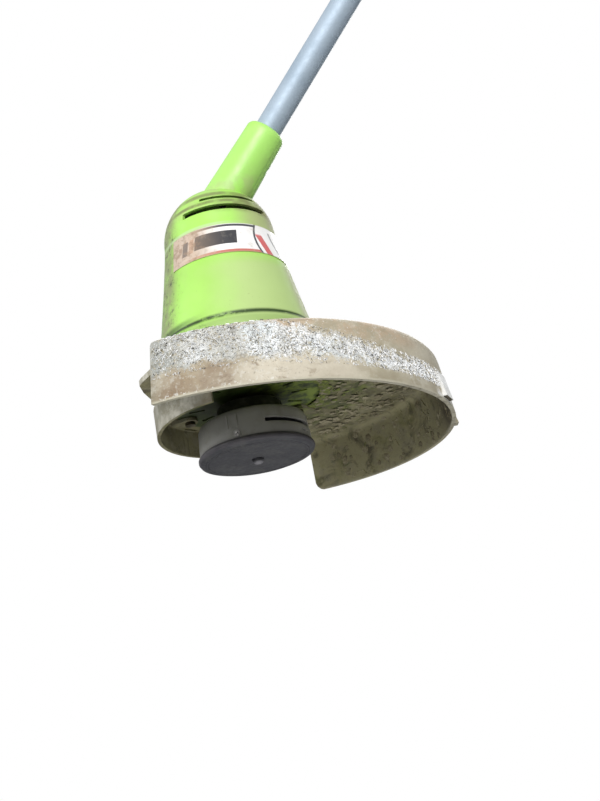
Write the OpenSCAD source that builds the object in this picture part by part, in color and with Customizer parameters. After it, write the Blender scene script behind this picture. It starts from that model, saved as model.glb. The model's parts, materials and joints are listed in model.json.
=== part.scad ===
// Electric string trimmer: cutting head, motor housing, guard, shaft tube,
// auxiliary handle and rear switch handle, as separate pieces.
// Frame: +Z is the line head's spin axis, +X points towards the user,
// and the origin is the tip of the tap button, the point that touches the ground.

/* [Line head] */
// Largest radius of the spool cap
cap_r = 44.2; // [43.8:0.1:44.6]
// Outer radius of the spool cup at its foot
cup_r = 42.4; // [42.2:0.1:42.6]
// Height of the spool cup's roof
cup_top = 33; // [33:0.1:33.6]
// Radius of the tap button
button_r = 4; // [3.6:0.1:4]
// How far the tap button travels
tap_travel = 3.5; // [3:0.1:3.5]
// Radius of the wound line
coil_r = 32; // [30:0.5:33]

/* [Motor housing] */
// Height of the seam between base ring and shells
seam_z = 97; // [96:0.5:98]
// Radius of the shells at the seam
seam_r = 61; // [60:0.5:62]
// Radius of the domed top
dome_r = 45.2; // [45:0.1:46]
// Height of the dome's centre
dome_z = 188; // [187:0.5:189]
// Wall of the housing shells
shell_wall = 2.8; // [2.4:0.1:3]

/* [Motor] */
// Radius of the motor shaft
shaft_r = 4; // [3.9:0.05:4]
// Outer radius of the stator laminations
stator_r = 38; // [37.5:0.1:38]
// Height of the lamination stack
stack_h = 50; // [49:0.5:50]

/* [Guard] */
// Radius of the guard's skirt at its rim
rim_r = 149.5; // [148:0.5:151]
// Radius of the guard's skirt at its top
top_r = 144.5; // [143:0.5:146]
// How far the skirt's centre lies behind the spin axis
skirt_shift = 3; // [2:0.5:4]
// Downward slope of the guard towards the user
guard_pitch = 2.4; // [2.2:0.1:2.6]
// Wall of the guard
guard_wall = 3; // [2.6:0.1:3.2]
// Radius of the ring in front of the motor
ring_r = 72; // [71:0.5:73]

/* [Shaft tube] */
// Outer radius of the tube
tube_r = 11; // [10.9:0.05:11]
// Wall of the tube
tube_wall = 1.4; // [1:0.1:1.6]
// Angle between the tube and the spin axis
lean = 43.7; // [42:0.1:45]
// Distance from the spin axis to the front of the rear handle
handle_t = 790; // [700:10:900]
// Distance from the spin axis to the auxiliary handle
aux_t = 560; // [400:10:640]

/* [Hidden] */
$fn = 64;

// Colours
lime = [0.60, 0.85, 0.36];
charcoal = [0.24, 0.23, 0.27];
straw = [0.66, 0.61, 0.50];
steel = [0.72, 0.73, 0.75];
tube_grey = [0.55, 0.60, 0.66];
copper = [0.72, 0.40, 0.22];
brass = [0.80, 0.66, 0.32];
black = [0.10, 0.10, 0.11];

// Line head levels
cap_z = 4;
cap_rim = 9;
cup_z = 9.3;
cup_wall = 2.2;
cup_roof = 30;
eyelet_z = 13;
eyelet_az = 94;
cap_tab_az = -7;
spool_z = 9.2;
spool_r = 36.8;
hub_r = 16;
// The spool's ribs stay 0.5 below the cup's ribs when the button is pushed in
hub_top = cup_roof - 4.5 - tap_travel;
recess_r = 12.3;
recess_z = 13;
boss_r = 8.5;
boss_z = 19;
fit_gap = 0.05;
button_flange_r = 14;
stem_top = 26;
cup_hub_r = 26;
cup_hub_top = 46;

// Motor levels
base_z = 50.5;
bearing_r = 11;
bearing_h = 7;
low_bearing_z = 57;
high_bearing_z = 189;
stack_z = 100;
bolt_ring = 35.6;
brush_z = 174;

// Guard levels
plate_under = 51;
plate_top = 55;
rim_z = 8.6;
guard_corner = 8;
guard_near = -94;
guard_far = 91.5;
guard_hole_r = 58;
ring_foot = 30;
guard_screw_ring = 50;
cutter_az = -86;
cutter_z = 27;

// Tube and handles, measured along the tube from the spin axis
cross_x = 2.4;
cross_z = 217.2;
tube_start = 28;
collar_end = 81;
tube_end = handle_t + 76;
loop_x = 78;
loop_end = 288;
strut_z = 84;
strut_r = 10;
grip_end = 258;
grip_r = 18;
handle_wall = 2.6;
eye_x = -24;
eye_z = 250;
eye_r = 4;
pivot = [15, 0, 104];
trigger_w = 12;
plunger_z = 130;
lock_z = 100;
inlet_x = 40;

// Places children in the tube's own frame: Z along the tube, X on its underside
module on_tube(t = 0) {
    translate([cross_x, 0, cross_z]) rotate([0, lean, 0]) translate([0, 0, t]) children();
}

// A round bar between two points, with ball ends
module bar(a, b, r, ends = true) {
    d = b - a;
    l = norm(d);
    translate(a) rotate([0, acos(d[2] / l), atan2(d[1], d[0])]) cylinder(h = l, r = r);
    if (ends) {
        translate(a) sphere(r = r);
        translate(b) sphere(r = r);
    }
}

// A cylinder along Y, centred on its origin
module along_y(h, r) {
    rotate([90, 0, 0]) cylinder(h = h, r = r, center = true);
}

// A round ring: outer and inner radius, from z = 0 up
module ring(h, r_out, r_in) {
    difference() {
        cylinder(h = h, r = r_out);
        translate([0, 0, -1]) cylinder(h = h + 2, r = r_in);
    }
}

// Half spaces on either side of the middle plane, side = -1 or 1
module half_space(side) {
    size = 3000;
    translate([-size / 2, side < 0 ? -size : 0, -size / 2]) cube(size);
}

// ---------- Motor housing ----------

// Radius of the tapering body at height z
function body_r(z) = dome_r + (seam_r - dome_r) * pow(max(0, dome_z - z) / (dome_z - seam_z), 1.12);

// Body of revolution inset by w, from height z0 to the dome's equator, closed by the dome
module housing_form(w, z0) {
    steps = 12;
    side = [for (i = [0:steps]) let (z = z0 + (dome_z - z0) * i / steps) [body_r(z) - w, z]];
    rotate([0, 0, 90]) {
        rotate_extrude($fn = 96) polygon(concat([[0, z0]], side, [[0, dome_z]]));
        translate([0, 0, dome_z]) sphere(r = dome_r - w, $fn = 96);
    }
}

// Collar that grips the tube, rounded at its end
module collar_form() {
    round_r = 5;
    end_r = 16.6;
    centre = [end_r - round_r, collar_end - round_r];
    arc = [for (a = [0:15:90]) centre + round_r * [cos(a), sin(a)]];
    section = concat([[0, -8], [19.2, -8], [18.5, 18]], arc, [[0, collar_end]]);
    on_tube() rotate([0, 0, 90]) rotate_extrude() polygon(section);
}

// A curved slot through the shell wall, spanning azimuths a0 to a1
module vent(z, h, a0, a1, r_in, r_out) {
    rotate([0, 0, a0]) rotate_extrude(angle = a1 - a0) translate([r_in, z]) square([r_out - r_in, h]);
}

vent_near = -105;
vent_far = -8;

module vents(side) {
    spin = side < 0 ? 0 : 113;
    rotate([0, 0, spin]) {
        vent(194.5, 5.2, vent_near, vent_far, 20, 60);
        vent(206.5, 3, vent_near + 20, vent_far - 10, 16, 60);
    }
}

// Screws of the shells: heads sit on the right side
body_screw = [9.6, 20, 3.2];
collar_screw = [2.8, 9, 2.4];

module body_screw_spots() {
    for (x = [-49, 49]) translate([x, 0, 110]) children();
}

module collar_screw_spots() {
    for (x = [-14.2, 14.2]) on_tube(52) translate([x, 0, 0]) children();
}

// A screw along Y: its seat, the length of its shank and the radius of its head
module shell_screw(size) {
    translate([0, size[0], 0]) rotate([-90, 0, 0]) cylinder(h = 2, r = size[2]);
    translate([0, size[0], 0]) rotate([90, 0, 0]) cylinder(h = size[1], r = 1.5);
}

// The hole that such a screw sits in
module shell_screw_hole(size) {
    translate([0, size[0] - 0.1, 0]) rotate([-90, 0, 0]) cylinder(h = 40, r = size[2] + 0.4);
    translate([0, size[0], 0]) rotate([90, 0, 0]) cylinder(h = size[1] + 0.6, r = 1.6);
}

module housing_shell(side) {
    difference() {
        intersection() {
            union() {
                difference() {
                    union() {
                        housing_form(0, seam_z);
                        collar_form();
                    }
                    difference() {
                        housing_form(shell_wall, seam_z - 1);
                        on_tube(12) cylinder(h = 60, r = 15);
                    }
                }
                for (z = [seam_z + 7, 142]) {
                    difference() {
                        translate([0, 0, z]) cylinder(h = 3, r = body_r(z + 3) - 1);
                        translate([0, 0, z - 1]) cylinder(h = 5, r = stator_r + 0.3);
                        for (x = [-49, 49]) translate([x, 0, z]) cube([20, 20, 20], center = true);
                    }
                }
                for (x = [-49, 49]) translate([x, 0, 110]) intersection() {
                    along_y(50, 5);
                    translate([-x, 0, -110]) housing_form(1, seam_z);
                }
            }
            half_space(side);
        }
        on_tube(tube_start) cylinder(h = 100, r = tube_r + 0.1);
        on_tube(-2) cylinder(h = 40, r = 5);
        vents(side);
        body_screw_spots() shell_screw_hole(body_screw);
        collar_screw_spots() shell_screw_hole(collar_screw);
    }
}

module housing_left() {
    color(lime) housing_shell(-1);
}

module housing_right() {
    color(lime) housing_shell(1);
}

module housing_screws() {
    color(steel) {
        body_screw_spots() shell_screw(body_screw);
        collar_screw_spots() shell_screw(collar_screw);
    }
}

// The three screws that hold the guard under the base ring
module guard_screw_spots() {
    for (a = [60:120:300]) rotate([0, 0, a]) translate([guard_screw_ring, 0, 0]) children();
}

// Base ring: carries the lower bearing, the shells above and the guard below
module housing_base() {
    top = seam_z - 0.2;
    inner = 58.5;
    color(lime) difference() {
        union() {
            rotate([0, 0, 90]) rotate_extrude($fn = 96) polygon([
                [0, base_z], [57, base_z], [57, 55.3], [63, 55.3], [63.5, 58],
                [62.8, top - 1], [62, top], [0, top]
            ]);
        }
        difference() {
            union() {
                translate([0, 0, base_z + 3]) cylinder(h = 60, r = 53.5);
                translate([0, 0, 59]) cylinder(h = 60, r = inner);
            }
            cylinder(h = low_bearing_z + bearing_h + 2, r = bearing_r + 3.5);
            guard_screw_spots() cylinder(h = 70, r = 4.5);
            for (a = [0:60:300]) rotate([0, 0, a]) translate([bearing_r + 3, -1, 0]) cube([44, 2, 60]);
        }
        translate([0, 0, low_bearing_z]) cylinder(h = 40, r = bearing_r + 0.02);
        cylinder(h = 80, r = bearing_r - 2);
        guard_screw_spots() cylinder(h = 66, r = 1.7);
        for (a = [15:30:345]) rotate([0, 0, a]) translate([34, -1.5, 0]) cube([12, 3, 60]);
    }
}

// Printed label wrapped round the near side of the tapering body
module side_label() {
    lift = 0.1;
    thick = 0.4;
    z0 = 152.5;
    z1 = 180;
    steps = 5;
    levels = [for (i = [0:steps]) z0 + (z1 - z0) * i / steps];
    outer = [for (z = levels) [body_r(z) + lift + thick, z]];
    inner = [for (i = [steps:-1:0]) [body_r(levels[i]) + lift, levels[i]]];
    section = concat(outer, inner);
    color("white") rotate([0, 0, -120]) rotate_extrude(angle = 122, $fn = 96) polygon(section);
}

// ---------- Guard ----------

// The guard's sloping frame: centred on the skirt, pitched down towards the user
module in_guard() {
    pitch_x = -12;
    translate([pitch_x, 0, plate_top]) rotate([0, guard_pitch, 0])
        translate([skirt_shift - pitch_x, 0, -plate_top]) children();
}

// Outer radius of the skirt at height z
function skirt_r(z) = rim_r + (top_r - rim_r) * (z - rim_z) / (plate_top - guard_corner - rim_z);

// Half ring of plate and flared skirt, its shoulder rounded
module guard_skirt() {
    inner_corner = guard_corner - guard_wall;
    centre = [top_r - guard_corner, plate_top - guard_corner];
    outer_arc = [for (q = [90:-22.5:0]) centre + guard_corner * [cos(q), sin(q)]];
    inner_arc = [for (q = [0:22.5:90]) centre + inner_corner * [cos(q), sin(q)]];
    rim = [[rim_r, rim_z], [rim_r - guard_wall, rim_z]];
    section = concat([[40, plate_top]], outer_arc, rim, inner_arc, [[40, plate_top - guard_wall]]);
    in_guard() difference() {
        rotate([0, 0, guard_near]) rotate_extrude(angle = guard_far - guard_near, $fn = 128) polygon(section);
        far_corner();
    }
}

// What is cut away to blunt the rim's far corner
module far_corner() {
    cut = [[-7.5, -0.8], [-3, 1], [-1.2, 2.8], [0.6, 7.2], [3, 8], [3, -3], [-7.5, -3]];
    rotate([0, 0, guard_far]) translate([130, 0, rim_z]) rotate([90, 0, 90]) linear_extrude(40) polygon(cut);
}

// Ring that closes the guard in front of the motor, with a short skirt
module guard_ring() {
    rotate([0, 0, 86]) rotate_extrude(angle = 184, $fn = 96) polygon([
        [40, plate_top], [ring_r - 3, plate_top], [ring_r, plate_top - 3], [ring_r, ring_foot],
        [ring_r - 2.6, ring_foot], [ring_r - 2.6, plate_under], [40, plate_under]
    ]);
}

// Pointed ears of the top plate, between the skirt's ends and the front ring
module guard_ears() {
    for (s = [-1, 1]) translate([0, 0, plate_under]) linear_extrude(plate_top - plate_under) polygon([
        [2, s * 65], [2, s * 134], [-4, s * 134], [-16, s * 120], [-30, s * 100], [-42, s * 91],
        [-46, s * 87], [-50, s * 74], [-54, s * 47], [-50, s * 45], [-30, s * 59], [-12, s * 65]
    ]);
}

// Lug on the outside of the skirt between heights z0 and z1, standing out by low and high
module guard_lug(az, w, z0, z1, low, high) {
    section = [
        [skirt_r(z0) - 1.5, z0], [skirt_r(z0) + low, z0], [skirt_r(z1) + high, z1], [skirt_r(z1) - 1.5, z1]
    ];
    in_guard() rotate([0, 0, az]) translate([0, w / 2, 0]) rotate([90, 0, 0])
        linear_extrude(w) polygon(section);
}

module guard() {
    color(straw) difference() {
        union() {
            difference() {
                union() {
                    guard_skirt();
                    guard_ring();
                    guard_ears();
                    guard_lug(-5, 15, 10.5, 29, 2.8, 2);
                    guard_lug(19, 8, rim_z + 0.5, 22, 3, 1.2);
                }
                translate([0, 0, 30]) cylinder(h = 60, r = guard_hole_r, $fn = 96);
            }
            guard_screw_spots() guard_screw_tab();
        }
        guard_screw_spots() cylinder(h = 90, r = 2.2);
        rotate([0, 0, 158]) translate([64, -6, 40]) cube([3, 12, 30]);
        cutter_spots() translate([-5, 0, 0]) rotate([0, 90, 0]) cylinder(h = 6.8, r = 1.6);
    }
}

// Tab that reaches under the base ring to take one screw
module guard_screw_tab() {
    translate([0, 0, 47.5]) {
        cylinder(h = 2.8, r = 6);
        translate([0, -6, 0]) cube([13, 12, 2.8]);
        translate([8.5, -6, 0]) cube([4.5, 12, 6]);
    }
}

module guard_screws() {
    color(steel) guard_screw_spots() {
        translate([0, 0, 44.9]) cylinder(h = 2.5, r = 4);
        translate([0, 0, 46]) cylinder(h = 16, r = 1.6);
    }
}

// Places children on the inside of the skirt, X outwards through its slope
module on_skirt() {
    slope = atan((rim_r - top_r) / (plate_top - guard_corner - rim_z));
    in_guard() rotate([0, 0, cutter_az]) translate([skirt_r(cutter_z) - guard_wall, 0, cutter_z])
        rotate([0, -slope, 0]) children();
}

module cutter_spots() {
    on_skirt() for (z = [-4, 5]) translate([0, 3, z]) children();
}

// Line cutter: a steel blade on the inside of the skirt, near its left end
module line_cutter() {
    color(steel) difference() {
        on_skirt() {
            translate([-2.4, -9, -11]) cube([1.5, 18, 22]);
            translate([-14, -9, -11]) cube([13, 1.5, 13]);
        }
        cutter_spots() translate([-5, 0, 0]) rotate([0, 90, 0]) cylinder(h = 12, r = 1.6);
    }
}

module cutter_screws() {
    color(steel) cutter_spots() {
        translate([-4.5, 0, 0]) rotate([0, 90, 0]) cylinder(h = 2, r = 3);
        translate([-3, 0, 0]) rotate([0, 90, 0]) cylinder(h = 4.5, r = 1.5);
    }
}

// ---------- Motor ----------

module stator_core() {
    color(steel) translate([0, 0, stack_z]) linear_extrude(stack_h) difference() {
        circle(r = stator_r);
        circle(r = 22);
        for (a = [50, 130, 230, 310]) rotate(a) translate([24, -5]) square([9, 10]);
        for (a = [90, 270]) rotate(a) translate([bolt_ring, 0]) circle(r = 2.2);
    }
}

// Field coils: straight runs in the stator slots, joined by end turns
module field_coils() {
    color(copper) for (side = [0, 180]) rotate([0, 0, side]) {
        for (a = [-50, 50]) rotate([0, 0, a]) translate([24.3, -4.6, stack_z - 6])
            cube([8.2, 9.2, stack_h + 12]);
        for (z = [stack_z - 7, stack_z + stack_h + 0.3]) translate([0, 0, z])
            rotate([0, 0, -58]) rotate_extrude(angle = 116) translate([24.3, 0]) square([8.2, 6.7]);
    }
}

module armature_core() {
    color(steel) translate([0, 0, stack_z]) linear_extrude(stack_h) difference() {
        circle(r = 21.3);
        circle(r = shaft_r);
        for (a = [0:30:330]) rotate(a) translate([15, -0.9]) square([8, 1.8]);
        for (a = [0:30:330]) rotate(a) translate([14.5, 0]) circle(r = 2.2);
    }
}

// End turns of the armature winding, above and below the core
module armature_windings() {
    section = [[6, 0], [19, 0], [20.2, 3], [18, 8], [10, 11], [6, 11]];
    color(copper) {
        translate([0, 0, stack_z + stack_h + 0.2]) rotate_extrude() polygon(section);
        translate([0, 0, stack_z - 0.2]) mirror([0, 0, 1]) rotate_extrude() polygon(section);
    }
}

module commutator() {
    color(copper) translate([0, 0, 165]) difference() {
        union() {
            cylinder(h = 17, r = 11.5);
            cylinder(h = 2.5, r = 13);
        }
        translate([0, 0, -1]) cylinder(h = 20, r = shaft_r);
        for (a = [0:15:345]) rotate([0, 0, a]) translate([10.4, -0.3, -1]) cube([4, 0.6, 20]);
    }
}

module motor_shaft() {
    color(steel) difference() {
        translate([0, 0, 34.5]) cylinder(h = 163, r = shaft_r);
        translate([0, 0, 40]) rotate([0, 90, 0]) cylinder(h = 20, r = 1.5, center = true);
    }
}

// Ball bearing: outer race, inner race and shield, closed up as one unit
module bearing(z) {
    color(steel) translate([0, 0, z]) difference() {
        cylinder(h = bearing_h, r = bearing_r);
        translate([0, 0, -1]) cylinder(h = bearing_h + 2, r = shaft_r + fit_gap);
        for (dz = [-0.1, bearing_h - 0.4]) translate([0, 0, dz]) ring(0.5, 9, 6);
    }
}

module upper_bearing() {
    bearing(high_bearing_z);
}

module lower_bearing() {
    bearing(low_bearing_z);
}

module cooling_fan() {
    color(black) translate([0, 0, 70]) difference() {
        union() {
            cylinder(h = 2, r = 45);
            cylinder(h = 14, r = 9);
            for (a = [0:30:330]) rotate([0, 0, a]) translate([20, -0.8, 0]) cube([24, 1.6, 13]);
        }
        translate([0, 0, -1]) cylinder(h = 16, r = shaft_r);
    }
}

// End frame over the commutator: carries the upper bearing and the brush holders
module brush_bracket() {
    color(black) difference() {
        union() {
            translate([0, 0, 183.5]) cylinder(h = 3, r = 37);
            translate([0, 0, 183.5]) cylinder(h = 13.5, r = 14);
            for (s = [-1, 1]) translate([-6, s > 0 ? 14 : -32, 179]) cube([12, 18, 5]);
            for (a = [90, 270]) rotate([0, 0, a]) translate([bolt_ring, 0, 157]) ring(27, 2.6, 2.15);
        }
        translate([0, 0, high_bearing_z]) cylinder(h = 20, r = bearing_r + 0.02);
        translate([0, 0, 170]) cylinder(h = 40, r = 8);
        for (a = [90, 270]) rotate([0, 0, a]) translate([bolt_ring, 0, 150]) cylinder(h = 60, r = 2.15);
        for (a = [30:40:150]) for (s = [-90, 90]) rotate([0, 0, a + s]) translate([21, -4, 180])
            cube([10, 8, 10]);
    }
}

module bracket_bolts() {
    color(steel) for (a = [90, 270]) rotate([0, 0, a]) translate([bolt_ring, 0, 0]) {
        translate([0, 0, 98]) cylinder(h = 89, r = 2);
        translate([0, 0, 186.7]) cylinder(h = 3, r = 3.4);
    }
}

module brush_holders() {
    color(brass) for (a = [90, 270]) rotate([0, 0, a]) difference() {
        translate([14, -4.5, brush_z - 5]) cube([18, 9, 9.8]);
        translate([13, -3.4, brush_z - 3.9]) cube([18, 6.8, 7.8]);
    }
}

module carbon_brushes() {
    color(black) for (a = [90, 270]) rotate([0, 0, a]) difference() {
        translate([11.2, -3.2, brush_z - 3.6]) cube([12.5, 6.4, 7.2]);
        translate([0, 0, brush_z - 10]) cylinder(h = 20, r = 11.6);
    }
}

// A coil spring along Z: n turns of wire between heights 0 and h
module coil_spring(r, h, turns, wire) {
    per_turn = 16;
    sides = 6;
    m = turns * per_turn;
    rows = [for (i = [0:m]) let (a = 360 * i / per_turn, z = wire / 2 + (h - wire) * i / m)
        [for (j = [0:sides - 1]) let (b = 360 * j / sides, q = r - wire / 2 + wire / 2 * cos(b))
            [q * cos(a), q * sin(a), z + wire / 2 * sin(b)]]];
    quads = [for (i = [0:m - 1]) for (j = [0:sides - 1])
        [i * sides + j, i * sides + (j + 1) % sides, (i + 1) * sides + (j + 1) % sides, (i + 1) * sides + j]];
    start = [for (j = [sides - 1:-1:0]) j];
    finish = [for (j = [0:sides - 1]) m * sides + j];
    polyhedron(points = [for (r = rows) each r], faces = concat([start, finish], quads), convexity = 10);
}

module brush_springs() {
    color(steel) for (a = [90, 270]) rotate([0, 0, a]) translate([24, 0, brush_z]) rotate([0, 90, 0])
        coil_spring(2.8, 6.8, 4, 0.7);
}

module capacitor() {
    color("gold") translate([-17, -11, 200]) cube([13, 22, 9]);
}

// ---------- Line head ----------

module cup_windows() {
    for (a = [0, 180]) rotate([0, 0, a]) {
        vent(18.2, 3.4, -57, 3, 37, 50);
        rotate([0, 0, cap_tab_az]) translate([37, -4.6, cup_z - 1]) cube([10, 9.2, 5.8]);
    }
}

module eyelet_spots() {
    for (a = [0, 180]) rotate([0, 0, a + eyelet_az]) translate([0, 0, eyelet_z]) rotate([0, 90, 0])
        children();
}

module spool_cup() {
    inner = cup_r - cup_wall;
    color(charcoal) difference() {
        union() {
            rotate_extrude($fn = 96) polygon([
                [0, cup_z], [cup_r, cup_z], [cup_r, cup_z + 6], [cup_r - 1, cup_top - 4],
                [cup_r - 2.2, cup_top - 1.4], [cup_r - 5, cup_top], [0, cup_top]
            ]);
            rotate_extrude($fn = 96) polygon([
                [0, cup_top - 1], [cup_hub_r + 2, cup_top - 1], [cup_hub_r, cup_top + 2],
                [cup_hub_r - 1, cup_hub_top - 1], [cup_hub_r - 2, cup_hub_top], [0, cup_hub_top]
            ]);
            for (a = [-95, -85, 85, 95]) rotate([0, 0, a]) translate([cup_r - 3, -0.6, 18])
                cube([3.2, 1.2, 10]);
        }
        difference() {
            cylinder(h = cup_roof, r = inner - 0.6);
            translate([0, 0, boss_z]) cylinder(h = 20, r = boss_r);
            for (a = [0:45:315]) rotate([0, 0, a]) translate([26, -1.5, cup_roof - 2.8]) cube([8, 3, 4]);
        }
        cup_windows();
        cylinder(h = 32, r = button_r + fit_gap);
        translate([0, 0, 34]) cylinder(h = 20, r = shaft_r);
        translate([0, 0, 40]) rotate([0, 90, 0]) cylinder(h = 60, r = 1.5, center = true);
        for (a = [0:60:300]) rotate([0, 0, a + 30]) translate([14, 0, 39]) cylinder(h = 10, r = 4.5);
        eyelet_spots() cylinder(h = 60, r = 2);
    }
}

module drive_pin() {
    color(steel) translate([0, 0, 40]) rotate([0, 90, 0]) cylinder(h = 40, r = 1.49, center = true);
}

module spool_cap() {
    color(charcoal) difference() {
        union() {
            rotate_extrude($fn = 96) polygon([
                [0, cap_z - 0.4], [20, cap_z - 0.3], [cap_r - 3.6, cap_z], [cap_r - 1.1, cap_z + 0.8],
                [cap_r, cap_z + 2.4],
                [cap_r, cap_rim - 0.8], [cap_r - 0.8, cap_rim], [0, cap_rim]
            ]);
            ring(10.5, cup_r - 3.1, cup_r - 5.1);
            for (a = [0, 180]) rotate([0, 0, a + cap_tab_az]) translate([cup_r - 4.4, -4.2, cap_rim - 1])
                cube([4.2, 8.4, 5.2]);
        }
        translate([0, 0, cap_z + 2.2]) cylinder(h = 20, r = cup_r - 4.9);
        cylinder(h = 20, r = button_r + 0.4);
        cylinder(h = cap_z - 0.5, r = 60);
    }
}

module tap_button() {
    color(charcoal) {
        rotate_extrude($fn = 64) polygon([
            [0, 0], [2.2, 0], [3.4, 0.7], [button_r, 2], [button_r, 7.5], [button_flange_r, 7.5],
            [button_flange_r, 9], [button_r, 9], [button_r, stem_top], [0, stem_top]
        ]);
    }
}

module line_spool() {
    color(black) difference() {
        union() {
            translate([0, 0, spool_z]) cylinder(h = 1.6, r = spool_r);
            translate([0, 0, spool_z]) cylinder(h = hub_top - spool_z, r = hub_r);
            translate([0, 0, hub_top - 1.5]) cylinder(h = 1.5, r = spool_r);
            for (a = [20:45:335]) rotate([0, 0, a]) translate([26, -1.5, hub_top - 0.5])
                cube([8, 3, 1.7]);
        }
        translate([0, 0, recess_z]) cylinder(h = 20, r = recess_r);
        cylinder(h = 20, r = button_r + fit_gap);
    }
}

// Cutting line wound on the spool, each layer a row of turns
module line_coil() {
    turns = 5;
    top = hub_top - 1.7;
    foot = spool_z + 1.8;
    pitch = (top - foot) / turns;
    edge = [for (i = [0:turns - 1]) for (q = [-80:40:80])
        [coil_r - pitch / 2 + pitch / 2 * cos(q), foot + pitch * (i + 0.5) + pitch / 2 * sin(q)]];
    color([0.85, 0.35, 0.15]) rotate_extrude($fn = 96)
        polygon(concat([[hub_r + 0.2, foot]], edge, [[hub_r + 0.2, top]]));
}

module line_ends() {
    start = spool_r + 0.3;
    finish = cup_r + 2.4;
    color([0.85, 0.35, 0.15]) eyelet_spots() translate([0, 0, start]) cylinder(h = finish - start, r = 0.8);
}

module line_eyelets() {
    color(steel) eyelet_spots() difference() {
        union() {
            translate([0, 0, cup_r - 3]) cylinder(h = 3.6, r = 1.95);
            translate([0, 0, cup_r + 0.1]) cylinder(h = 0.7, r = 2.6);
        }
        cylinder(h = 60, r = 1.1);
    }
}

module feed_spring() {
    color(steel) translate([0, 0, recess_z + 0.1]) coil_spring(11.6, cup_roof - recess_z - 0.2, 5, 1.2);
}

// ---------- Tube ----------

module shaft_tube() {
    color(tube_grey) on_tube(tube_start + 0.2) ring(tube_end - tube_start - 0.2, tube_r, tube_r - tube_wall);
}

// Two core lead held inside the tube, from the switch to the motor
module power_lead() {
    color(black) on_tube(6) cylinder(h = tube_end + 4 - 6, r = 3.2);
}

// ---------- Auxiliary handle ----------

bolt_h = 27;
lug_r = 10;

// Places children at the clamp: X away from the tube's top side, Z along the tube
module at_clamp() {
    on_tube(aux_t) rotate([0, 0, 180]) children();
}

module clamp_half(side) {
    color(black) at_clamp() difference() {
        union() {
            translate([side > 0 ? 0.4 : -16, -21, -15]) cube([15.6, 42, 30]);
            if (side > 0) {
                translate([12, -8.7, -lug_r]) cube([bolt_h - 12, 17.4, 2 * lug_r]);
                translate([bolt_h, 0, 0]) along_y(17.4, lug_r);
            }
        }
        translate([0, 0, -20]) cylinder(h = 40, r = tube_r + 0.1);
        translate([bolt_h, 0, 0]) along_y(60, 4.02);
        clamp_screw_spots() rotate([0, 90, 0]) cylinder(h = 60, r = 2.1, center = true);
        clamp_screw_spots() translate([14, 0, 0]) rotate([0, 90, 0]) cylinder(h = 10, r = 4);
    }
}

module clamp_screw_spots() {
    for (y = [-16, 16]) for (z = [-9, 9]) translate([0, y, z]) children();
}

module clamp_upper() {
    clamp_half(1);
}

module clamp_lower() {
    clamp_half(-1);
}

module clamp_screws() {
    color(steel) at_clamp() clamp_screw_spots() {
        translate([14.1, 0, 0]) rotate([0, 90, 0]) cylinder(h = 2.4, r = 3.7);
        translate([-13, 0, 0]) rotate([0, 90, 0]) cylinder(h = 28, r = 2);
    }
}

module clamp_bolt() {
    color(steel) at_clamp() translate([bolt_h, 0, 0]) {
        translate([0, 6.5, 0]) along_y(49, 4);
        translate([0, -19.8, 0]) along_y(4.6, 7);
    }
}

module clamp_knob() {
    color(black) at_clamp() translate([bolt_h, 24.5, 0]) difference() {
        union() {
            along_y(13, 8);
            for (a = [0:60:300]) rotate([0, a, 0]) translate([6.5, 0, 0]) along_y(13, 4);
        }
        along_y(60, 4 + fit_gap);
    }
}

// D shaped loop: two round lugs, foot bars, arms and a cross bar
arm_r = 8;
arm_y = 58;
foot_h = 46;
loop_h = 130;
low_bend = 18;
top_bend = 26;

// A quarter bend in the loop's plane, starting at angle a from +X towards +Y
module loop_bend(x, y, radius, a) {
    translate([x, y, 0]) rotate([0, 0, a])
        rotate_extrude(angle = 90) translate([radius, 0]) circle(r = arm_r);
}

module aux_handle() {
    color(lime) at_clamp() difference() {
        union() {
            for (s = [-1, 1]) {
                foot_w = arm_y - low_bend - 9.2;
                translate([bolt_h, s * 13.1, 0]) along_y(7.8, lug_r);
                translate([bolt_h, s * 13.1 - 3.9, -6]) cube([foot_h - bolt_h, 7.8, 12]);
                translate([foot_h, s * (9.2 + foot_w / 2), 0]) along_y(foot_w, arm_r);
                loop_bend(foot_h + low_bend, s * (arm_y - low_bend), low_bend, s > 0 ? 90 : 180);
                bar([foot_h + low_bend, s * arm_y, 0], [loop_h - top_bend, s * arm_y, 0], arm_r, false);
                loop_bend(loop_h - top_bend, s * (arm_y - top_bend), top_bend, s > 0 ? 0 : -90);
            }
            translate([loop_h, 0, 0]) along_y(2 * (arm_y - top_bend), arm_r);
        }
        translate([bolt_h, 0, 0]) along_y(60, 4 + fit_gap);
    }
}

// Soft sleeve over the cross bar
module aux_grip() {
    half = arm_y - top_bend - 2;
    color(black) at_clamp() translate([loop_h, 0, 0]) rotate([90, 0, 0]) rotate_extrude() polygon([
        [arm_r + 0.05, -half], [arm_r + 2.5, -half], [arm_r + 4, -half + 3], [arm_r + 5, 0],
        [arm_r + 4, half - 3], [arm_r + 2.5, half], [arm_r + 0.05, half]
    ]);
}

// ---------- Rear handle ----------

// Radius of the grip at stations along the tube, from the handle's front
grip_stations = [
    [0, 13.5], [3, 16], [30, 18], [60, 21.6], [80, 24], [118, 24],
    [150, 19], [178, 17], [205, 16.4], [235, 17.4], [grip_end, grip_r]
];

module at_handle() {
    on_tube(handle_t) children();
}

// A quarter bend in the handle's plane, starting at angle a from +X towards +Z
module bend(x, z, radius, r, a) {
    translate([x, 0, z]) rotate([90, 0, 0]) rotate([0, 0, a])
        rotate_extrude(angle = 90) translate([radius, 0]) circle(r = r);
}

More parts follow.
